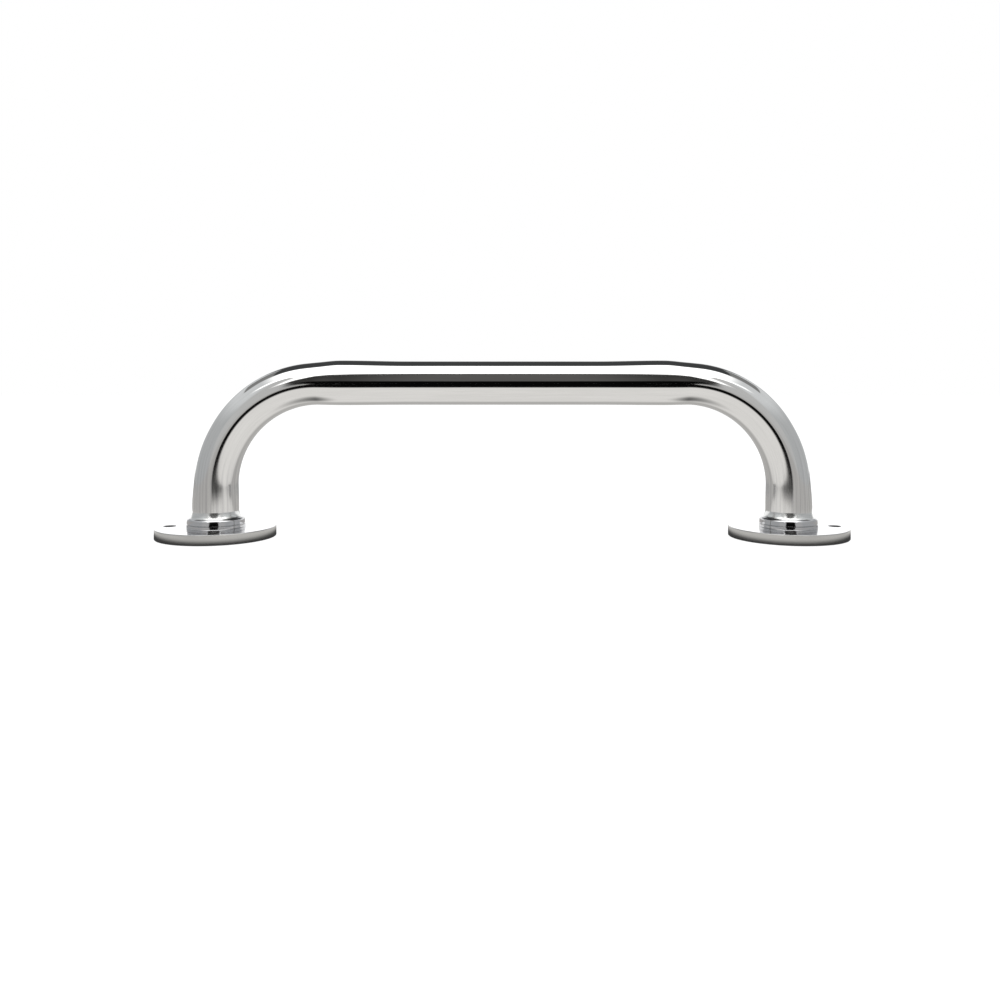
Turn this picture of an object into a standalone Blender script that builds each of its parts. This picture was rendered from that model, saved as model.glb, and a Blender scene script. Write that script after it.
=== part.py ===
"""Stainless grab rail: a bent tube whose legs are welded into two round flange bases.

Frame: X runs along the bar, Y across it, +Z up. The origin lies on the mounting surface, midway between
the legs. Units are metres.
"""

import math

import bmesh
import bpy
from mathutils import Vector

# Driving dimensions
TUBE_DIAMETER = 0.0254
TUBE_WALL = 0.0015
LEG_SPACING = 0.3336
BAR_HEIGHT = 0.0895
BEND_RADIUS = 0.060
BEND_FLATTENING = 0.0012

PLATE_DIAMETER = 0.0685
PLATE_THICKNESS = 0.0060
PLATE_TOP_ROUND = 0.0008
PLATE_BOTTOM_ROUND = 0.0005

COLLAR_DIAMETER = 0.0334
COLLAR_TOP_DIAMETER = 0.0282
COLLAR_HEIGHT = 0.0052
COLLAR_WALL_HEIGHT = 0.0012
COLLAR_TAPER = 0.45

SCREW_HOLE_DIAMETER = 0.0068
SCREW_HOLE_EDGE_BREAK = 0.0004
SCREW_HOLE_RADIUS = 0.0270

COLLAR_WELD_WIDTH = 0.0010
COLLAR_WELD_HEIGHT = 0.0034
ROOT_WELD_WIDTH = 0.0022
ROOT_WELD_HEIGHT = 0.0019
ROOT_WELD_RECESS = 0.0004

FIT_GAP = 0.0003

# Facets
TUBE_SIDES = 32
BEND_STEPS = 14
TURNED_STEPS = 48
HOLE_SIDES = 24
ROUND_STEPS = 3
SHOULDER_STEPS = 8
FILLET_STEPS = 4

# Worked out from the driving dimensions
TUBE_RADIUS = TUBE_DIAMETER / 2
BORE_RADIUS = TUBE_RADIUS + FIT_GAP
LEG_X = LEG_SPACING / 2
BEND_CENTRE_X = LEG_X - BEND_RADIUS
BEND_CENTRE_Z = BAR_HEIGHT - BEND_RADIUS
TUBE_END_Z = ROOT_WELD_RECESS + ROOT_WELD_HEIGHT + FIT_GAP
COLLAR_BASE_Z = PLATE_THICKNESS + FIT_GAP
COLLAR_TOP_Z = COLLAR_BASE_Z + COLLAR_HEIGHT
SIDES = {"left": -1, "right": 1}


def clear_scene():
    """Remove every object that a new file starts with."""
    for old in list(bpy.data.objects):
        bpy.data.objects.remove(old)


def steel(name, colour, roughness):
    """A metallic Principled material."""
    material = bpy.data.materials.new(name)
    material.use_nodes = True
    shader = material.node_tree.nodes["Principled BSDF"]
    shader.inputs["Base Color"].default_value = (*colour, 1.0)
    shader.inputs["Metallic"].default_value = 1.0
    shader.inputs["Roughness"].default_value = roughness
    return material


def add_object(name, mesh, material):
    """Link a finished mesh as a smooth-shaded object with one material."""
    mesh.materials.append(material)
    mesh.shade_smooth()
    mesh.set_sharp_from_angle(angle=math.radians(35))
    piece = bpy.data.objects.new(name, mesh)
    bpy.context.scene.collection.objects.link(piece)
    return piece


def arc(centre, radius, start, end, steps):
    """Points (r, z) along an arc; the angles are in degrees, from +r towards +z."""
    points = []
    for step in range(steps + 1):
        angle = math.radians(start + (end - start) * step / steps)
        points.append((centre[0] + radius * math.cos(angle), centre[1] + radius * math.sin(angle)))
    return points


def turned_mesh(name, profile, steps, is_ring=True):
    """Turn a profile of (r, z) points about Z. A ring's profile closes on itself; the others meet the axis."""
    mesh = bpy.data.meshes.new(name)
    bm = bmesh.new()
    vertices = [bm.verts.new((r, 0.0, z)) for r, z in profile]
    edges = [bm.edges.new(pair) for pair in zip(vertices, vertices[1:])]
    if is_ring:
        edges.append(bm.edges.new((vertices[-1], vertices[0])))
    bmesh.ops.spin(
        bm,
        geom=vertices + edges,
        axis=(0, 0, 1),
        cent=(0, 0, 0),
        angle=math.tau,
        steps=steps,
    )
    bmesh.ops.remove_doubles(bm, verts=bm.verts, dist=1e-6)
    bmesh.ops.recalc_face_normals(bm, faces=bm.faces)
    bm.to_mesh(mesh)
    bm.free()
    return mesh


def tube_stations():
    """Where the tube's rings lie: (centre, outward direction, share of the bend's flattening).

    The path starts at the left leg's end and finishes at the right leg's. Outward points away from the
    inside of the bends.
    """
    stations = [(Vector((-LEG_X, 0, TUBE_END_Z)), Vector((-1, 0, 0)), 0.0)]
    for side in (-1, 1):
        for step in range(BEND_STEPS + 1):
            share = step / BEND_STEPS
            angle = math.pi / 2 * (share if side < 0 else 1 - share)
            outward = Vector((side * math.cos(angle), 0, math.sin(angle)))
            centre = Vector((side * BEND_CENTRE_X, 0, BEND_CENTRE_Z)) + BEND_RADIUS * outward
            stations.append((centre, outward, min(1.0, 4 * share, 4 * (1 - share))))
    stations.append((Vector((LEG_X, 0, TUBE_END_Z)), Vector((1, 0, 0)), 0.0))
    return stations


def tube_ring(bm, station, radius):
    """One ring of vertices; the wall on the outside of a bend is pulled in by the flattening."""
    centre, outward, flattening = station
    ring = []
    for side in range(TUBE_SIDES):
        angle = math.tau * (side + 0.5) / TUBE_SIDES
        reach = radius * math.cos(angle)
        if reach > 0:
            reach *= 1 - flattening * BEND_FLATTENING / TUBE_RADIUS
        ring.append(bm.verts.new(centre + reach * outward + radius * math.sin(angle) * Vector((0, 1, 0))))
    return ring


def join_rings(bm, first, second):
    """Quads between two rings that have the same number of vertices."""
    for side in range(len(first)):
        after = (side + 1) % len(first)
        bm.faces.new((first[side], first[after], second[after], second[side]))


def make_rail_tube(material):
    """The bent tube, hollow and open at both ends."""
    mesh = bpy.data.meshes.new("rail_tube")
    bm = bmesh.new()
    stations = tube_stations()
    outside = [tube_ring(bm, station, TUBE_RADIUS) for station in stations]
    inside = [tube_ring(bm, station, TUBE_RADIUS - TUBE_WALL) for station in stations]
    for rings in (outside, inside):
        for first, second in zip(rings, rings[1:]):
            join_rings(bm, first, second)
    join_rings(bm, outside[0], inside[0])
    join_rings(bm, outside[-1], inside[-1])
    bmesh.ops.recalc_face_normals(bm, faces=bm.faces)
    bm.to_mesh(mesh)
    bm.free()
    return add_object("rail_tube", mesh, material)


def plate_profile():
    """Half section of the base plate, with its rounded rim and the bore for the tube."""
    rim = PLATE_DIAMETER / 2
    top = PLATE_THICKNESS
    lower_round = arc((rim - PLATE_BOTTOM_ROUND, PLATE_BOTTOM_ROUND), PLATE_BOTTOM_ROUND, -90, 0, ROUND_STEPS)
    upper_round = arc((rim - PLATE_TOP_ROUND, top - PLATE_TOP_ROUND), PLATE_TOP_ROUND, 0, 90, ROUND_STEPS)
    return [(BORE_RADIUS, 0.0)] + lower_round + upper_round + [(BORE_RADIUS, top)]


def make_screw_cutter(name, mesh, location):
    """A hidden cutter for one screw hole with a broken top edge."""
    cutter = bpy.data.objects.new(name, mesh)
    bpy.context.scene.collection.objects.link(cutter)
    cutter.location = location
    cutter.hide_render = True
    cutter.display_type = "WIRE"
    return cutter


def screw_cutter_mesh():
    """A plain hole whose top edge opens at 45 degrees."""
    hole = SCREW_HOLE_DIAMETER / 2
    overrun = 0.002
    mouth = hole + SCREW_HOLE_EDGE_BREAK + overrun
    profile = [
        (0.0, -overrun),
        (hole, -overrun),
        (hole, PLATE_THICKNESS - SCREW_HOLE_EDGE_BREAK),
        (mouth, PLATE_THICKNESS + overrun),
        (0.0, PLATE_THICKNESS + overrun),
    ]
    return turned_mesh("screw_cutter", profile, HOLE_SIDES, is_ring=False)


def screw_hole_offsets(side):
    """Centres of the two holes about the leg's axis: one at the outermost point, one straight behind."""
    return [Vector((side * SCREW_HOLE_RADIUS, 0, 0)), Vector((0, SCREW_HOLE_RADIUS, 0))]


def make_base_plate(side_name, material, cutter_mesh):
    """One round base plate with its screw holes cut."""
    side = SIDES[side_name]
    foot = Vector((side * LEG_X, 0, 0))
    mesh = turned_mesh(f"{side_name}_base_plate", plate_profile(), TURNED_STEPS)
    plate = add_object(f"{side_name}_base_plate", mesh, material)
    plate.location = foot
    for number, offset in enumerate(screw_hole_offsets(side)):
        cutter = make_screw_cutter(f"{side_name}_screw_cutter_{number}", cutter_mesh, foot + offset)
        cut = plate.modifiers.new(f"screw_hole_{number}", "BOOLEAN")
        cut.operation = "DIFFERENCE"
        cut.object = cutter
    return plate


def collar_profile():
    """Half section of the collar: a short upright wall under a tapered, rounded shoulder."""
    outer = COLLAR_DIAMETER / 2
    inner = COLLAR_TOP_DIAMETER / 2
    wall_top = COLLAR_BASE_Z + COLLAR_WALL_HEIGHT
    points = [(BORE_RADIUS, COLLAR_BASE_Z), (outer, COLLAR_BASE_Z)]
    for step in range(SHOULDER_STEPS + 1):
        share = step / SHOULDER_STEPS
        reach = inner + (outer - inner) * (1 - share ** 3) * (1 - COLLAR_TAPER * share)
        points.append((reach, wall_top + (COLLAR_TOP_Z - wall_top) * share))
    points.append((BORE_RADIUS, COLLAR_TOP_Z))
    return points


def collar_weld_profile():
    """Half section of the polished fillet on top of the collar, hollowed towards the leg."""
    inner = BORE_RADIUS
    foot = COLLAR_TOP_Z + FIT_GAP
    width = COLLAR_WELD_WIDTH
    height = COLLAR_WELD_HEIGHT
    lip = FIT_GAP
    points = [(inner, foot), (inner + width, foot)]
    for step in range(FILLET_STEPS + 1):
        share = step / FILLET_STEPS
        points.append((inner + lip + (width - lip) * (1 - share) ** 2, foot + lip + (height - lip) * share))
    points.append((inner, foot + height))
    return points


def root_weld_profile():
    """Half section of the bead that closes the tube's end against the plate's bore."""
    outer = TUBE_RADIUS
    top = ROOT_WELD_RECESS + ROOT_WELD_HEIGHT
    points = [(outer, top), (outer - ROOT_WELD_WIDTH, top)]
    for step in range(1, FILLET_STEPS + 1):
        angle = math.pi / 2 * step / FILLET_STEPS
        reach = outer - ROOT_WELD_WIDTH * math.cos(angle)
        points.append((reach, top - ROOT_WELD_HEIGHT * math.sin(angle)))
    return points


def make_turned_piece(name, side_name, profile, material):
    """One ring around a leg."""
    piece = add_object(f"{side_name}_{name}", turned_mesh(f"{side_name}_{name}", profile, TURNED_STEPS), material)
    piece.location = (SIDES[side_name] * LEG_X, 0, 0)
    return piece


def build():
    """Make every piece of the rail."""
    clear_scene()
    tube_steel = steel("polished_tube", (0.80, 0.80, 0.79), 0.06)
    plate_steel = steel("polished_plate", (0.82, 0.82, 0.83), 0.12)
    collar_steel = steel("polished_collar", (0.80, 0.80, 0.81), 0.08)
    polished_weld = steel("polished_weld", (0.78, 0.78, 0.77), 0.15)
    raw_weld = steel("raw_weld", (0.46, 0.45, 0.44), 0.45)
    make_rail_tube(tube_steel)
    cutter_mesh = screw_cutter_mesh()
    for side_name in SIDES:
        make_base_plate(side_name, plate_steel, cutter_mesh)
        make_turned_piece("collar", side_name, collar_profile(), collar_steel)
        make_turned_piece("collar_weld", side_name, collar_weld_profile(), polished_weld)
        make_turned_piece("root_weld", side_name, root_weld_profile(), raw_weld)


build()
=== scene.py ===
"""Looks of the stainless grab rail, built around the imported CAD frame.

Every CAD solid is faceted, and a mirror finish shows each facet, so each one is replaced by a finely
turned or swept piece of nearly the same size with its own procedural steel material.
"""

import math

import bmesh
import bpy
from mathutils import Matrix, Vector


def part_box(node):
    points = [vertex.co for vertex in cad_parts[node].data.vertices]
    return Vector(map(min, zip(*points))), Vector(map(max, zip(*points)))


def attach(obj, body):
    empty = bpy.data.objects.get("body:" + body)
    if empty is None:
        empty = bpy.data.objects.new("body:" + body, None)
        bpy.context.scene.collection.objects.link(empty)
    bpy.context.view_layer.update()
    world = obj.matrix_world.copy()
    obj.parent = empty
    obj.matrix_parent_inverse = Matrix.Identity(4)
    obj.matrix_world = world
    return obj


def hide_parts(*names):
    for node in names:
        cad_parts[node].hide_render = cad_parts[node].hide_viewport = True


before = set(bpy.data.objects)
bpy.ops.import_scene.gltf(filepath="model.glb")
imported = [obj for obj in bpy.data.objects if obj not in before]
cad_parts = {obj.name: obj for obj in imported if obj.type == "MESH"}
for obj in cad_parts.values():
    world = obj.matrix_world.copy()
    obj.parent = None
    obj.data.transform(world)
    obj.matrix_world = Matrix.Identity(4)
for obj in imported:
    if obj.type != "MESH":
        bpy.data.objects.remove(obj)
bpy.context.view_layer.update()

BODY = "root"
SIDES = {"left": -1, "right": 1}

# The CAD pieces' boxes. Both bases are alike, so the right one stands for both.
tube_low, tube_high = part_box("rail_tube")
plate_low, plate_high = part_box("right_base_plate")
collar_low, collar_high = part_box("right_collar")
collar_weld_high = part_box("right_collar_weld")[1]
root_weld_low, root_weld_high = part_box("right_root_weld")

# The tube and its path.
LEG_X = (plate_low.x + plate_high.x) / 2
TUBE_RADIUS = 0.0127
TUBE_WALL = 0.0015
BEND_RADIUS = 0.060
BAR_Z = tube_high.z - TUBE_RADIUS
TUBE_END_Z = tube_low.z
BEND_X = LEG_X - BEND_RADIUS
BEND_Z = BAR_Z - BEND_RADIUS

# How bending and polishing changed the tube, as reach beyond its nominal radius.
SWELL_OUT = 0.00050
SWELL_IN = 0.00020
SWELL_START_X = 0.055
SWELL_PEAK_X = 0.092
BEND_OUT = -0.00085
BEND_IN = -0.00010
BEND_ACROSS = 0.00030
LEG_GROWTH = 0.00030
LEG_ROUND_Z = (0.0180, 0.0360)
LEG_OUTER_SWELL = 0.00040

# The base plate, with its bore for the tube and its screw holes.
PLATE_RADIUS = (plate_high.x - plate_low.x) / 2
PLATE_TOP_Z = plate_high.z
PLATE_TOP_ROUND = 0.0004
PLATE_BOTTOM_ROUND = 0.0005
BORE_RADIUS = TUBE_RADIUS + 0.0003
SCREW_CIRCLE_RADIUS = 0.027
SCREW_HOLE_RADIUS = 0.0034
SCREW_HOLE_BREAK = 0.00040
SCREW_MOUTH_RADIUS = SCREW_HOLE_RADIUS + SCREW_HOLE_BREAK

# The collar and the welds. They close the CAD's fit gaps, because welded pieces touch.
COLLAR_RADIUS = (collar_high.x - collar_low.x) / 2
COLLAR_TOP_RADIUS = 0.0145
COLLAR_BASE_Z = PLATE_TOP_Z + 0.00002
COLLAR_FOOT_FILLET = 0.00020
COLLAR_GROOVE_Z = 0.0079
COLLAR_GROOVE_WIDTH = 0.00055
COLLAR_GROOVE_DEPTH = 0.00040
COLLAR_DRAFT = 0.00045
COLLAR_SHOULDER_HEIGHT = 0.0016
COLLAR_TOP_Z = collar_high.z + 0.0001
WELD_TOP_Z = collar_weld_high.z
WELD_SLOPE = 0.00125
WELD_SLOPE_CURVE = 1.4
WELD_TOE = 0.00035
WELD_TOE_CURVE = 8
WELD_OVERLAP = 0.0001
ROOT_WELD_WIDTH = 0.0026
ROOT_WELD_RIPPLES = 46
ROOT_WELD_RIPPLE_DEPTH = 0.00012

# How finely the meshes are divided.
TUBE_SIDES = 128
TURNED_SIDES = 256
HOLE_SIDES = 96
BAR_STEPS = 60
BEND_STEPS = 96
LEG_STEPS = 54
GROOVE_STEPS = 12
SHOULDER_STEPS = 32
WELD_STEPS = 24
SHARP_ANGLE = math.radians(30)


def smooth_step(value, start, end):
    """0 before start, 1 after end, and an S-curve between them."""
    share = min(1.0, max(0.0, (value - start) / (end - start)))
    return share * share * (3 - 2 * share)


# ---------------------------------------------------------------- meshes


def finish_mesh(name, bm):
    """Turn a bmesh into a smooth-shaded object."""
    bmesh.ops.recalc_face_normals(bm, faces=bm.faces)
    mesh = bpy.data.meshes.new(name)
    bm.to_mesh(mesh)
    bm.free()
    mesh.shade_smooth()
    mesh.set_sharp_from_angle(angle=SHARP_ANGLE)
    piece = bpy.data.objects.new(name, mesh)
    bpy.context.scene.collection.objects.link(piece)
    return piece


def join_rings(bm, first, second):
    """Quads between two rings that have the same number of vertices."""
    for side in range(len(first)):
        after = (side + 1) % len(first)
        bm.faces.new((first[side], first[after], second[after], second[side]))


def ring_solid(name, profile, wobble=None):
    """Turn a closed profile of (r, z) points about Z; wobble(angle, r, z) gives a changed (r, z)."""
    bm = bmesh.new()
    rings = []
    for r, z in profile:
        ring = []
        for side in range(TURNED_SIDES):
            angle = math.tau * side / TURNED_SIDES
            point = wobble(angle, r, z) if wobble else (r, z)
            ring.append(bm.verts.new((point[0] * math.cos(angle), point[0] * math.sin(angle), point[1])))
        rings.append(ring)
    for first, second in zip(rings, rings[1:] + rings[:1]):
        join_rings(bm, first, second)
    return finish_mesh(name, bm)


def arc(centre_r, centre_z, radius, start, end, steps):
    """Profile points along an arc; the angles are in degrees, from +r towards +z."""
    points = []
    for step in range(steps + 1):
        angle = math.radians(start + (end - start) * step / steps)
        points.append((centre_r + radius * math.cos(angle), centre_z + radius * math.sin(angle)))
    return points


# ---------------------------------------------------------------- rail tube


def bar_section(x):
    """Reach (outward, inward, across) beyond the nominal radius along the straight bar."""
    swell = smooth_step(x, SWELL_START_X, SWELL_PEAK_X)
    settle = smooth_step(x, SWELL_PEAK_X + 0.002, BEND_X + 0.006)
    outward = SWELL_OUT * swell + (BEND_OUT - SWELL_OUT) * settle
    inward = SWELL_IN * swell + (BEND_IN - SWELL_IN) * settle
    return outward, inward, BEND_ACROSS * settle


def bend_section(angle):
    """The same in a bend; angle runs from 0 at the bar to 90 degrees at the leg."""
    entered = smooth_step(BEND_X + BEND_RADIUS * angle, SWELL_PEAK_X + 0.002, BEND_X + 0.006)
    outward = SWELL_OUT + (BEND_OUT - SWELL_OUT) * entered
    inward = SWELL_IN + (BEND_IN - SWELL_IN) * entered
    return outward, inward, BEND_ACROSS * entered


def rounded_towards_leg(section, z):
    """The section at height z near the leg, where the tube returns to a full round."""
    share = 1 - smooth_step(z, *LEG_ROUND_Z)
    outward, inward, across = (reach + (LEG_GROWTH - reach) * share for reach in section)
    rise = smooth_step(z, COLLAR_TOP_Z + 0.001, LEG_ROUND_Z[0])
    fall = 1 - smooth_step(z, LEG_ROUND_Z[0], BAR_Z - 0.02)
    return outward + LEG_OUTER_SWELL * rise * fall, inward, across


def half_path():
    """Stations from the middle of the bar to the right leg's end: (length, centre, outward, section)."""
    stations = []
    for step in range(BAR_STEPS + 1):
        x = BEND_X * step / BAR_STEPS
        stations.append((x, Vector((x, 0, BAR_Z)), Vector((0, 0, 1)), bar_section(x)))
    for step in range(1, BEND_STEPS + 1):
        angle = math.pi / 2 * step / BEND_STEPS
        outward = Vector((math.sin(angle), 0, math.cos(angle)))
        centre = Vector((BEND_X, 0, BEND_Z)) + BEND_RADIUS * outward
        section = rounded_towards_leg(bend_section(angle), centre.z)
        stations.append((BEND_X + BEND_RADIUS * angle, centre, outward, section))
    bend_end = BEND_X + BEND_RADIUS * math.pi / 2
    for step in range(1, LEG_STEPS + 1):
        z = BEND_Z + (TUBE_END_Z - BEND_Z) * step / LEG_STEPS
        section = rounded_towards_leg(bend_section(math.pi / 2), z)
        stations.append((bend_end + BEND_Z - z, Vector((LEG_X, 0, z)), Vector((1, 0, 0)), section))
    return stations


def whole_path():
    """The half path and its mirror image, from the left leg's end to the right leg's."""
    right = half_path()
    left = []
    for length, centre, outward, section in reversed(right[1:]):
        mirrored = Vector((-outward.x, 0, outward.z))
        left.append((-length, Vector((-centre.x, 0, centre.z)), mirrored, section))
    return left + right


def tube_ring(bm, layer, station, wall):
    """One ring of the tube; layer keeps each point's place on the unrolled tube for the polish lines."""
    length, centre, outward, section = station
    ring = []
    for side in range(TUBE_SIDES):
        angle = math.tau * side / TUBE_SIDES
        along_out = math.cos(angle)
        across = math.sin(angle)
        reach = TUBE_RADIUS - wall + (section[0] if along_out > 0 else section[1])
        place = centre + reach * along_out * outward
        place.y = (TUBE_RADIUS - wall + section[2]) * across
        vertex = bm.verts.new(place)
        vertex[layer] = Vector((TUBE_RADIUS * along_out, TUBE_RADIUS * across, length))
        ring.append(vertex)
    return ring


def make_rail_tube():
    """The bent tube, hollow and open at both ends."""
    bm = bmesh.new()
    layer = bm.verts.layers.float_vector.new("tube_space")
    stations = whole_path()
    outside = [tube_ring(bm, layer, station, 0.0) for station in stations]
    inside = [tube_ring(bm, layer, station, TUBE_WALL) for station in stations]
    for rings in (outside, inside):
        for first, second in zip(rings, rings[1:]):
            join_rings(bm, first, second)
    join_rings(bm, outside[0], inside[0])
    join_rings(bm, outside[-1], inside[-1])
    return finish_mesh("rail_tube_polished", bm)


# ---------------------------------------------------------------- base pieces


def plate_profile():
    """Half section of the plate, with support points beside its roundings so that the flats stay flat."""
    top = PLATE_TOP_Z
    margin = 0.0002
    inner_break = 0.0002
    lower = arc(PLATE_RADIUS - PLATE_BOTTOM_ROUND, PLATE_BOTTOM_ROUND, PLATE_BOTTOM_ROUND, -90, 0, 8)
    upper = arc(PLATE_RADIUS - PLATE_TOP_ROUND, top - PLATE_TOP_ROUND, PLATE_TOP_ROUND, 0, 90, 8)
    return (
        [(BORE_RADIUS, inner_break), (BORE_RADIUS + inner_break, 0.0)]
        + [(PLATE_RADIUS - PLATE_BOTTOM_ROUND - margin, 0.0)]
        + lower
        + upper
        + [(PLATE_RADIUS - PLATE_TOP_ROUND - margin, top), (BORE_RADIUS, top)]
    )


def screw_cutter(centre):
    """A plain hole with a small rounded mouth; the ring below the mouth keeps the wall's shading straight."""
    overrun = 0.002
    profile = [(SCREW_HOLE_RADIUS, -overrun), (SCREW_HOLE_RADIUS, PLATE_TOP_Z - 2 * SCREW_HOLE_BREAK)]
    for step in range(7):
        angle = math.radians(90 * step / 6)
        reach = SCREW_HOLE_RADIUS + SCREW_HOLE_BREAK * (1 - math.cos(angle))
        profile.append((reach, PLATE_TOP_Z - SCREW_HOLE_BREAK * (1 - math.sin(angle))))
    profile.append((profile[-1][0], PLATE_TOP_Z + overrun))
    bm = bmesh.new()
    rings = []
    for r, z in profile:
        ring = []
        for step in range(HOLE_SIDES):
            turn = math.tau * step / HOLE_SIDES
            ring.append(bm.verts.new((centre.x + r * math.cos(turn), centre.y + r * math.sin(turn), z)))
        rings.append(ring)
    for first, second in zip(rings, rings[1:]):
        join_rings(bm, first, second)
    bm.faces.new(rings[0])
    bm.faces.new(rings[-1])
    return finish_mesh("screw_cutter", bm)


def cut_screw_holes(plate, side):
    """Cut the two screw holes: one at the outermost point, one straight behind the leg."""
    for direction in (Vector((side, 0, 0)), Vector((0, 1, 0))):
        cutter = screw_cutter(direction * SCREW_CIRCLE_RADIUS)
        cut = plate.modifiers.new("screw_hole", "BOOLEAN")
        cut.operation = "DIFFERENCE"
        cut.object = cutter
        bpy.context.view_layer.objects.active = plate
        bpy.ops.object.modifier_apply(modifier=cut.name)
        bpy.data.objects.remove(cutter)


def make_plate(side_name):
    """One base plate with a flat polished top."""
    plate = ring_solid(f"{side_name}_plate_polished", plate_profile())
    cut_screw_holes(plate, SIDES[side_name])
    plate.data.set_sharp_from_angle(angle=SHARP_ANGLE)
    level = plate.modifiers.new("flat_faces_stay_flat", "WEIGHTED_NORMAL")
    level.keep_sharp = True
    level.weight = 100
    return plate


def collar_profile():
    """Half section: a small foot fillet, a wall with a fine groove round it, and a rounded shoulder."""
    foot = COLLAR_FOOT_FILLET
    wall_foot = COLLAR_BASE_Z + 5 * foot
    wall_top = COLLAR_TOP_Z - COLLAR_SHOULDER_HEIGHT
    points = [(BORE_RADIUS, COLLAR_BASE_Z)]
    points += arc(COLLAR_RADIUS + foot, COLLAR_BASE_Z + foot, foot, 270, 180, 6)
    points.append((COLLAR_RADIUS, wall_foot))
    for step in range(GROOVE_STEPS + 1):
        place = 2 * step / GROOVE_STEPS - 1
        z = COLLAR_GROOVE_Z + place * COLLAR_GROOVE_WIDTH / 2
        wall = COLLAR_RADIUS - COLLAR_DRAFT * (z - wall_foot) / (wall_top - wall_foot)
        points.append((wall - COLLAR_GROOVE_DEPTH * (1 - place ** 4), z))
    shoulder = COLLAR_RADIUS - COLLAR_DRAFT - COLLAR_TOP_RADIUS
    for step in range(SHOULDER_STEPS + 1):
        angle = math.pi / 2 * step / SHOULDER_STEPS
        r = COLLAR_TOP_RADIUS + shoulder * math.cos(angle) ** 1.2
        points.append((r, wall_top + COLLAR_SHOULDER_HEIGHT * math.sin(angle)))
    points.append((BORE_RADIUS, COLLAR_TOP_Z))
    return points


def make_collar(side_name):
    """One collar ring."""
    return ring_solid(f"{side_name}_collar_polished", collar_profile())


def collar_weld_profile():
    """Half section of the polished fillet that blends the leg into the collar's top."""
    inner = TUBE_RADIUS - WELD_OVERLAP
    leg = TUBE_RADIUS + LEG_GROWTH
    foot = COLLAR_TOP_Z - WELD_OVERLAP
    points = [(inner, foot)]
    for step in range(WELD_STEPS + 1):
        left = 1 - step / WELD_STEPS
        r = leg + WELD_SLOPE * left ** WELD_SLOPE_CURVE + WELD_TOE * left ** WELD_TOE_CURVE
        points.append((r, foot + (WELD_TOP_Z - foot) * (1 - left)))
    points.append((inner, WELD_TOP_Z))
    return points


def make_collar_weld(side_name):
    """One polished fillet."""
    return ring_solid(f"{side_name}_collar_weld_polished", collar_weld_profile())


def root_weld_profile():
    """Half section of the bead under the tube's end."""
    top = root_weld_high.z
    height = root_weld_high.z - root_weld_low.z
    points = [(BORE_RADIUS, top), (BORE_RADIUS - ROOT_WELD_WIDTH, top)]
    for step in range(1, 17):
        angle = math.pi / 2 * step / 16
        points.append((BORE_RADIUS - ROOT_WELD_WIDTH * math.cos(angle), top - height * math.sin(angle)))
    return points


def weld_ripple(angle, r, z):
    """Overlapping crescents, as a hand-fed weld leaves them."""
    depth = (root_weld_high.z - z) / (root_weld_high.z - root_weld_low.z)
    phase = ROOT_WELD_RIPPLES * angle / math.tau + 1.2 * (depth - 0.5) ** 2
    share = phase - math.floor(phase)
    drop = ROOT_WELD_RIPPLE_DEPTH * depth * math.sin(math.pi * share) ** 2
    return r - drop, z - drop


def make_root_weld(side_name):
    """One rippled bead."""
    return ring_solid(f"{side_name}_root_weld_bead", root_weld_profile(), weld_ripple)


# ---------------------------------------------------------------- materials


class Nodes:
    """Short names for building one material's node tree."""

    def __init__(self, name):
        self.material = bpy.data.materials.new(name)
        self.material.use_nodes = True
        self.tree = self.material.node_tree
        self.shader = self.tree.nodes["Principled BSDF"]

    def add(self, kind, **settings):
        node = self.tree.nodes.new(kind)
        for key, value in settings.items():
            setattr(node, key, value)
        return node

    def link(self, source, target):
        self.tree.links.new(source, target)

    def noise(self, vector, scale, detail=2.0, roughness=0.5):
        node = self.add("ShaderNodeTexNoise")
        node.inputs["Scale"].default_value = scale
        node.inputs["Detail"].default_value = detail
        node.inputs["Roughness"].default_value = roughness
        self.link(vector, node.inputs["Vector"])
        return node.outputs["Fac"]

    def stretch(self, vector, scale):
        node = self.add("ShaderNodeMapping")
        node.inputs["Scale"].default_value = scale
        self.link(vector, node.inputs["Vector"])
        return node.outputs["Vector"]

    def span(self, value, low, high, from_low=0.0, from_high=1.0):
        node = self.add("ShaderNodeMapRange")
        node.inputs["From Min"].default_value = from_low
        node.inputs["From Max"].default_value = from_high
        node.inputs["To Min"].default_value = low
        node.inputs["To Max"].default_value = high
        self.link(value, node.inputs["Value"])
        return node.outputs["Result"]

    def math(self, operation, first, second):
        node = self.add("ShaderNodeMath", operation=operation)
        for place, value in enumerate((first, second)):
            if isinstance(value, (int, float)):
                node.inputs[place].default_value = value
            else:
                self.link(value, node.inputs[place])
        return node.outputs[0]

    def tint(self, factor, first, second):
        """Mix two colours; the first may also be another node's output."""
        node = self.add("ShaderNodeMix", data_type="RGBA")
        if isinstance(first, tuple):
            node.inputs[6].default_value = (*first, 1.0)
        else:
            self.link(first, node.inputs[6])
        node.inputs[7].default_value = (*second, 1.0)
        self.link(factor, node.inputs[0])
        return node.outputs[2]

    def vector(self, operation, first, second=None):
        """A vector calculation; its first output is a vector and its second a number."""
        node = self.add("ShaderNodeVectorMath", operation=operation)
        self.link(first, node.inputs[0])
        if isinstance(second, tuple):
            node.inputs[1].default_value = second
        elif second is not None:
            self.link(second, node.inputs[1])
        return node.outputs

    def bump(self, height, distance):
        node = self.add("ShaderNodeBump")
        node.inputs["Distance"].default_value = distance
        self.link(height, node.inputs["Height"])
        self.link(node.outputs["Normal"], self.shader.inputs["Normal"])


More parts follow.
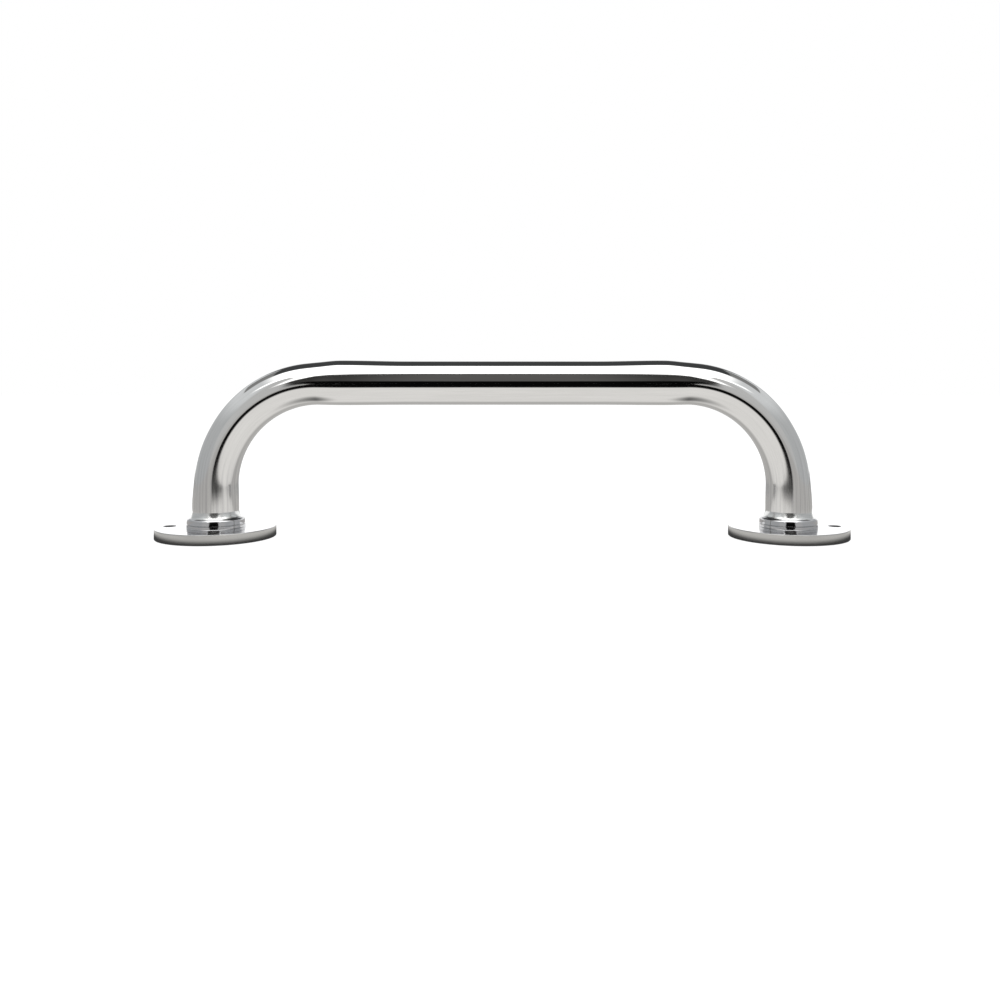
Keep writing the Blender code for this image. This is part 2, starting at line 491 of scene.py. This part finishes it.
# Where the leg begins along the unrolled tube, and how its satin finish differs from the bar's.
LEG_FINISH_SPAN = (BEND_X + 0.06, BEND_X + BEND_RADIUS * math.pi / 2)
LEG_ROUGHNESS = 0.08
LEG_STREAK_COLOUR = (0.52, 0.52, 0.52)

GROUND_EDGE_COLOUR = (0.43, 0.43, 0.42)
GROUND_EDGE_ROUGHNESS = 0.05
# Painted shade in the screw holes: their walls are darkened in colour, while their roughness is the real
# rough finish of a bored hole.
HOLE_SHADE_COLOUR = (0.16, 0.16, 0.16)
DRILLED_ROUGHNESS = 0.35


def polished_tube_material():
    """Mirror-polished steel with faint lines along the tube, stronger on the legs."""
    nodes = Nodes("polished_tube")
    inputs = nodes.shader.inputs
    place = nodes.add("ShaderNodeAttribute", attribute_name="tube_space").outputs["Vector"]
    fine = nodes.noise(nodes.stretch(place, (1, 1, 0.02)), 2600, 3.0, 0.6)
    broad = nodes.noise(nodes.stretch(place, (1, 1, 0.03)), 420, 2.0)
    cloud = nodes.noise(place, 60, 3.0)
    streak = nodes.math("ADD", nodes.math("MULTIPLY", fine, 0.6), nodes.math("MULTIPLY", broad, 0.4))
    line_roughness = nodes.span(streak, 0.02, 0.07, 0.3, 0.7)
    cloud_roughness = nodes.span(cloud, 0.0, 0.02, 0.35, 0.65)
    split = nodes.add("ShaderNodeSeparateXYZ")
    nodes.link(place, split.inputs[0])
    along = nodes.math("ABSOLUTE", split.outputs["Z"], 0.0)
    on_leg = nodes.span(along, 0.0, 1.0, *LEG_FINISH_SPAN)
    rough = nodes.math("ADD", line_roughness, cloud_roughness)
    nodes.link(nodes.math("ADD", rough, nodes.math("MULTIPLY", on_leg, LEG_ROUGHNESS)), inputs["Roughness"])
    steel = nodes.tint(nodes.span(streak, 0, 1, 0.35, 0.65), (0.60, 0.60, 0.59), (0.66, 0.66, 0.65))
    lines = nodes.span(nodes.noise(nodes.stretch(place, (1, 1, 0.015)), 900, 2.0), 0, 1, 0.42, 0.68)
    leg_lines = nodes.math("MULTIPLY", lines, on_leg)
    nodes.link(nodes.tint(leg_lines, steel, LEG_STREAK_COLOUR), inputs["Base Color"])
    inputs["Metallic"].default_value = 1.0
    nodes.bump(streak, 0.000006)
    return nodes.material


def tool_marks_and_hole_shade(nodes, radius, height, flat):
    """Shares of the surface that are the plate's ground edge and the walls of its screw holes; the hole walls
    are rough and are also darkened as painted shade.
    """
    ground = nodes.span(radius, 0, 1, PLATE_RADIUS - 0.0004, PLATE_RADIUS - 0.0002)
    mirrored = nodes.vector("ABSOLUTE", flat)[0]
    to_outermost = nodes.vector("DISTANCE", mirrored, (SCREW_CIRCLE_RADIUS, 0, 0))[1]
    to_behind = nodes.vector("DISTANCE", mirrored, (0, SCREW_CIRCLE_RADIUS, 0))[1]
    to_hole = nodes.math("MINIMUM", to_outermost, to_behind)
    near_hole = nodes.span(to_hole, 1, 0, SCREW_MOUTH_RADIUS, SCREW_MOUTH_RADIUS + 0.0001)
    below_top = nodes.span(height, 1, 0, PLATE_TOP_Z - 0.00006, PLATE_TOP_Z - 0.00002)
    above_bottom = nodes.span(height, 0, 1, 0.0001, 0.0003)
    drilled_and_shaded = nodes.math("MULTIPLY", near_hole, nodes.math("MULTIPLY", below_top, above_bottom))
    return ground, drilled_and_shaded


def turned_lines(nodes, radius, height, flat):
    """Noise that changes quickly with radius and height and hardly at all around the axis."""
    around = nodes.add("ShaderNodeVectorMath", operation="SCALE")
    nodes.link(nodes.vector("NORMALIZE", flat)[0], around.inputs[0])
    around.inputs["Scale"].default_value = 0.0006
    section = nodes.add("ShaderNodeCombineXYZ")
    nodes.link(radius, section.inputs[0])
    nodes.link(height, section.inputs[1])
    return nodes.noise(nodes.vector("ADD", section.outputs[0], around.outputs[0])[0], 3200, 3.0, 0.6)


def polished_turned_material(name, low_colour, high_colour, roughness):
    """Polished steel with faint lines about the leg's axis, with the plate's tool marks, and with painted
    shade darkening the walls of its screw holes.
    """
    nodes = Nodes(name)
    inputs = nodes.shader.inputs
    place = nodes.add("ShaderNodeTexCoord").outputs["Object"]
    split = nodes.add("ShaderNodeSeparateXYZ")
    nodes.link(place, split.inputs[0])
    height = split.outputs["Z"]
    flat = nodes.vector("MULTIPLY", place, (1, 1, 0))[0]
    radius = nodes.vector("LENGTH", flat)[1]
    streak = turned_lines(nodes, radius, height, flat)
    cloud = nodes.noise(place, 90, 3.0)
    ground, drilled_and_shaded = tool_marks_and_hole_shade(nodes, radius, height, flat)
    steel = nodes.tint(nodes.span(streak, 0, 1, 0.35, 0.65), low_colour, high_colour)
    edged = nodes.tint(ground, steel, GROUND_EDGE_COLOUR)
    # Painted shade: the screw-hole walls take the dark hole colour.
    nodes.link(nodes.tint(drilled_and_shaded, edged, HOLE_SHADE_COLOUR), inputs["Base Color"])
    line_roughness = nodes.span(streak, roughness, roughness + 0.05, 0.3, 0.7)
    cloud_roughness = nodes.span(cloud, 0.0, 0.02, 0.35, 0.65)
    ground_roughness = nodes.math("MULTIPLY", ground, GROUND_EDGE_ROUGHNESS)
    drilled_roughness = nodes.math("MULTIPLY", drilled_and_shaded, DRILLED_ROUGHNESS)
    polished = nodes.math("ADD", line_roughness, cloud_roughness)
    tooled = nodes.math("ADD", ground_roughness, drilled_roughness)
    nodes.link(nodes.math("ADD", polished, tooled), inputs["Roughness"])
    inputs["Metallic"].default_value = 1.0
    nodes.bump(streak, 0.000004)
    return nodes.material


def raw_weld_material():
    """Dull weld metal with straw and blue heat tint."""
    nodes = Nodes("raw_weld")
    inputs = nodes.shader.inputs
    place = nodes.add("ShaderNodeTexCoord").outputs["Object"]
    grain = nodes.noise(place, 2400, 4.0, 0.7)
    patch = nodes.span(nodes.noise(place, 260, 3.0), 0, 1, 0.35, 0.65)
    nodes.link(nodes.tint(patch, (0.34, 0.28, 0.20), (0.30, 0.32, 0.38)), inputs["Base Color"])
    nodes.link(nodes.span(grain, 0.3, 0.55), inputs["Roughness"])
    inputs["Metallic"].default_value = 1.0
    nodes.bump(grain, 0.00003)
    return nodes.material


# ---------------------------------------------------------------- studio


# The light tent's cross-section: a low roof over the table that opens upwards to a far front wall.
TENT_HALF_WIDTH = 0.75
TENT_BACK_Y = 0.60
ROOF_Z = 0.60
ROOF_FRONT_Y = -0.42
FRONT_Y = -1.20
FRONT_TOP_Z = 1.56
TABLE_EDGE_Y = -0.21

# Directions on the |X|, Y, Z axes of the tent that its patches are bounded by.
OUT = (1, 0, 0)
BACK = (0, 1, 0)
UP = (0, 0, 1)


def opposite(direction):
    return tuple(-part for part in direction)


class Glow:
    """An emission shader whose brightness is painted in soft patches over |X|, Y and Z."""

    def __init__(self, name, base):
        self.nodes = Nodes(name)
        self.nodes.tree.nodes.remove(self.nodes.shader)
        split = self.nodes.add("ShaderNodeSeparateXYZ")
        self.nodes.link(self.nodes.add("ShaderNodeTexCoord").outputs["Object"], split.inputs[0])
        self.place = self.nodes.add("ShaderNodeCombineXYZ")
        self.nodes.link(self.nodes.math("ABSOLUTE", split.outputs["X"], 0.0), self.place.inputs[0])
        self.nodes.link(split.outputs["Y"], self.place.inputs[1])
        self.nodes.link(split.outputs["Z"], self.place.inputs[2])
        start = self.nodes.add("ShaderNodeRGB")
        start.outputs[0].default_value = (*base, 1.0)
        self.colour = start.outputs[0]

    def reach(self, direction):
        """How far a point lies along a direction."""
        return self.nodes.vector("DOT_PRODUCT", self.place.outputs[0], direction)[1]

    def distance(self, centre):
        """How far a point lies from a centre."""
        return self.nodes.vector("DISTANCE", self.place.outputs[0], centre)[1]

    def below(self, value, limit, softness):
        """1 where the value is below the limit, and 0 above it."""
        fade = self.nodes.add("ShaderNodeMapRange", interpolation_type="SMOOTHSTEP")
        self.nodes.link(value, fade.inputs["Value"])
        fade.inputs["From Min"].default_value = limit - softness
        fade.inputs["From Max"].default_value = limit + softness
        fade.inputs["To Min"].default_value = 1.0
        fade.inputs["To Max"].default_value = 0.0
        return fade.outputs["Result"]

    def mix(self, colour, share):
        self.colour = self.nodes.tint(share, self.colour, colour)

    def patch(self, colour, *edges):
        """Paint colour where every edge (direction, limit, softness) has its place below the limit."""
        share = 1.0
        for direction, limit, softness in edges:
            share = self.nodes.math("MULTIPLY", self.below(self.reach(direction), limit, softness), share)
        self.mix(colour, share)

    def spot(self, colour, centre, limit, softness):
        """Paint colour round a centre."""
        self.mix(colour, self.below(self.distance(centre), limit, softness))

    def finish(self):
        emission = self.nodes.add("ShaderNodeEmission")
        self.nodes.link(self.colour, emission.inputs["Color"])
        output = self.nodes.tree.nodes["Material Output"]
        self.nodes.link(emission.outputs[0], output.inputs["Surface"])
        return self.nodes.material


def grey(level, warmth=0.0):
    """A grey radiance; warmth is positive towards yellow and negative towards blue."""
    return (level * (1 + warmth), level, level * (1 - warmth))


def sheet_object(name, corners, faces):
    mesh = bpy.data.meshes.new(name)
    mesh.from_pydata(corners, [], faces)
    sheet = bpy.data.objects.new(name, mesh)
    bpy.context.scene.collection.objects.link(sheet)
    return sheet


def flat_corners(low, high, z):
    return [(low[0], low[1], z), (high[0], low[1], z), (high[0], high[1], z), (low[0], high[1], z)]


def make_floor():
    """A plain pale floor with only a faint contact shadow."""
    floor = sheet_object("floor", flat_corners((-6, -6), (6, 6), -0.0004), [(0, 1, 2, 3)])
    nodes = Nodes("pale_floor")
    nodes.shader.inputs["Base Color"].default_value = (0.3, 0.3, 0.3, 1.0)
    nodes.shader.inputs["Roughness"].default_value = 0.9
    nodes.shader.inputs["Specular IOR Level"].default_value = 0.0
    nodes.shader.inputs["Emission Color"].default_value = (1, 1, 1, 1)
    nodes.shader.inputs["Emission Strength"].default_value = 0.90
    floor.data.materials.append(nodes.material)
    floor.visible_glossy = False


def make_table():
    """The table as the metal mirrors it: a painted pool of light under the bar, darker towards the back, dark
    past its front edge, and a painted contact shadow round each plate.
    """
    corners = flat_corners((-TENT_HALF_WIDTH, FRONT_Y), (TENT_HALF_WIDTH, TENT_BACK_Y), -0.0002)
    table = sheet_object("table_in_the_metal", corners, [(0, 1, 2, 3)])
    glow = Glow("table_glow", grey(0.60, 0.02))
    glow.patch(grey(0.45), (opposite(BACK), -0.25, 0.08))
    # Painted pool of light on the table under the bar and out towards the plates.
    painted_pool_of_light = grey(1.02, 0.02)
    under_bar = (BACK, 0.03, 0.025)
    glow.patch(painted_pool_of_light, under_bar, (OUT, 0.18, 0.05))
    glow.patch(painted_pool_of_light, under_bar, (opposite(BACK), 0.07, 0.03), (OUT, 0.24, 0.03))
    # Painted contact shadow round each plate, where the plate shades the table next to it.
    glow.spot(grey(0.09), (LEG_X, 0, 0), PLATE_RADIUS + 0.016, 0.010)
    glow.patch(grey(0.003), (BACK, TABLE_EDGE_Y, 0.03), ((1, 0.12, 0), 0.160, 0.012))
    table.data.materials.append(glow.finish())
    for kind in ("camera", "diffuse", "shadow"):
        setattr(table, f"visible_{kind}", False)


def make_tent():
    """A light tent: pale walls, a softbox in its roof, a dark gap behind that and a dark front opening."""
    front = [(FRONT_Y, 0), (FRONT_Y, FRONT_TOP_Z), (ROOF_FRONT_Y, ROOF_Z)]
    section = front + [(TENT_BACK_Y, ROOF_Z), (TENT_BACK_Y, 0)]
    corners = [(side * TENT_HALF_WIDTH, y, z) for side in (-1, 1) for y, z in section]
    count = len(section)
    faces = [(corner, corner + 1, corner + 1 + count, corner + count) for corner in range(count - 1)]
    faces += [tuple(range(count)), tuple(range(count, 2 * count))]
    tent = sheet_object("light_tent", corners, faces)
    glow = Glow("tent_glow", grey(0.62, -0.02))
    above = opposite(UP)
    behind = opposite(BACK)
    roof = (above, -ROOF_Z + 0.005, 0.004)
    front_wall = (BACK, FRONT_Y + 0.005, 0.004)
    back_wall = (behind, -TENT_BACK_Y + 0.005, 0.004)
    glow.patch(grey(0.90, -0.02), (above, -0.40, 0.12))
    glow.patch(grey(0.70), front_wall)
    glow.patch(grey(0.70), (BACK, -0.75, 0.15))
    glow.patch(grey(1.42), back_wall, (UP, 0.23, 0.06))
    glow.patch(grey(0.08), back_wall, (above, -0.36, 0.06), (OUT, 0.467, 0.02))
    softbox = grey(2.60)
    glow.patch(softbox, (above, -1.32, 0.08))
    glow.patch(softbox, roof, (BACK, 0.07, 0.03), (OUT, 0.46, 0.12))
    glow.patch(softbox, roof, (BACK, ROOF_FRONT_Y + 0.08, 0.08), (OUT, 0.66, 0.08))
    gap = (behind, -0.10, 0.03)
    glow.patch(grey(0.30), roof, gap)
    glow.patch(grey(0.07, -0.04), roof, gap, (OUT, 0.467, 0.008))
    widening_side = ((1, 0, -0.377), 0.343, 0.03)
    cut_corner = ((1, 0, 0.363), 0.80, 0.06)
    opening = (front_wall, widening_side, cut_corner, (UP, 1.50, 0.05))
    glow.patch(grey(0.05, 0.02), *opening)
    glow.patch(grey(0.14, 0.02), *opening, (OUT, 0.25, 0.12))
    glow.patch(grey(0.003), *opening, (UP, 0.28, 0.04))
    tent.data.materials.append(glow.finish())
    tent.visible_camera = False


def make_world():
    """Plain white where the camera looks past the floor, and dim grey for everything else."""
    world = bpy.data.worlds.new("studio")
    bpy.context.scene.world = world
    world.use_nodes = True
    tree = world.node_tree
    tree.nodes.clear()
    output = tree.nodes.new("ShaderNodeOutputWorld")
    mix = tree.nodes.new("ShaderNodeMixShader")
    path = tree.nodes.new("ShaderNodeLightPath")
    seen = tree.nodes.new("ShaderNodeBackground")
    seen.inputs["Color"].default_value = (1, 1, 1, 1)
    room = tree.nodes.new("ShaderNodeBackground")
    room.inputs["Color"].default_value = (0.5, 0.5, 0.5, 1)
    tree.links.new(path.outputs["Is Camera Ray"], mix.inputs["Fac"])
    tree.links.new(room.outputs[0], mix.inputs[1])
    tree.links.new(seen.outputs[0], mix.inputs[2])
    tree.links.new(mix.outputs[0], output.inputs["Surface"])


# The camera's distance from the bar, its focal length and its picture shifts as shares of the sensor's width.
CAMERA_DISTANCE = 0.558
FOCAL_SHARE = 0.957
HORIZON_RISE = 0.117
SIDE_SHIFT = 0.0022


def make_camera():
    """A level camera at the height of the bar's axis."""
    data = bpy.data.cameras.new("camera")
    data.sensor_width = 36.0
    data.lens = FOCAL_SHARE * data.sensor_width
    data.shift_x = -SIDE_SHIFT
    data.shift_y = -HORIZON_RISE
    data.dof.use_dof = False
    data.clip_start = 0.01
    camera = bpy.data.objects.new("camera", data)
    bpy.context.scene.collection.objects.link(camera)
    camera.location = (0, -CAMERA_DISTANCE, BAR_Z)
    camera.rotation_euler = (math.radians(90), 0, 0)
    bpy.context.scene.camera = camera


# ---------------------------------------------------------------- assembly


def dress(piece, node, material, place=(0, 0, 0)):
    """Put a finished piece where its CAD node stands."""
    piece.location = place
    piece.data.materials.clear()
    piece.data.materials.append(material)
    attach(piece, BODY)
    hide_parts(node)


def build():
    tube_steel = polished_tube_material()
    plate_steel = polished_turned_material("polished_plate", (0.62, 0.62, 0.63), (0.67, 0.67, 0.68), 0.05)
    collar_steel = polished_turned_material("polished_collar", (0.46, 0.46, 0.465), (0.50, 0.50, 0.505), 0.04)
    weld_steel = polished_turned_material("polished_weld", (0.54, 0.55, 0.54), (0.64, 0.64, 0.63), 0.18)
    bead_steel = raw_weld_material()
    dress(make_rail_tube(), "rail_tube", tube_steel)
    for side_name, side in SIDES.items():
        foot = (side * LEG_X, 0, 0)
        dress(make_plate(side_name), f"{side_name}_base_plate", plate_steel, foot)
        dress(make_collar(side_name), f"{side_name}_collar", collar_steel, foot)
        dress(make_collar_weld(side_name), f"{side_name}_collar_weld", weld_steel, foot)
        dress(make_root_weld(side_name), f"{side_name}_root_weld", bead_steel, foot)


build()
make_floor()
make_table()
make_tent()
make_world()
make_camera()
bpy.context.scene.view_settings.view_transform = "Standard"
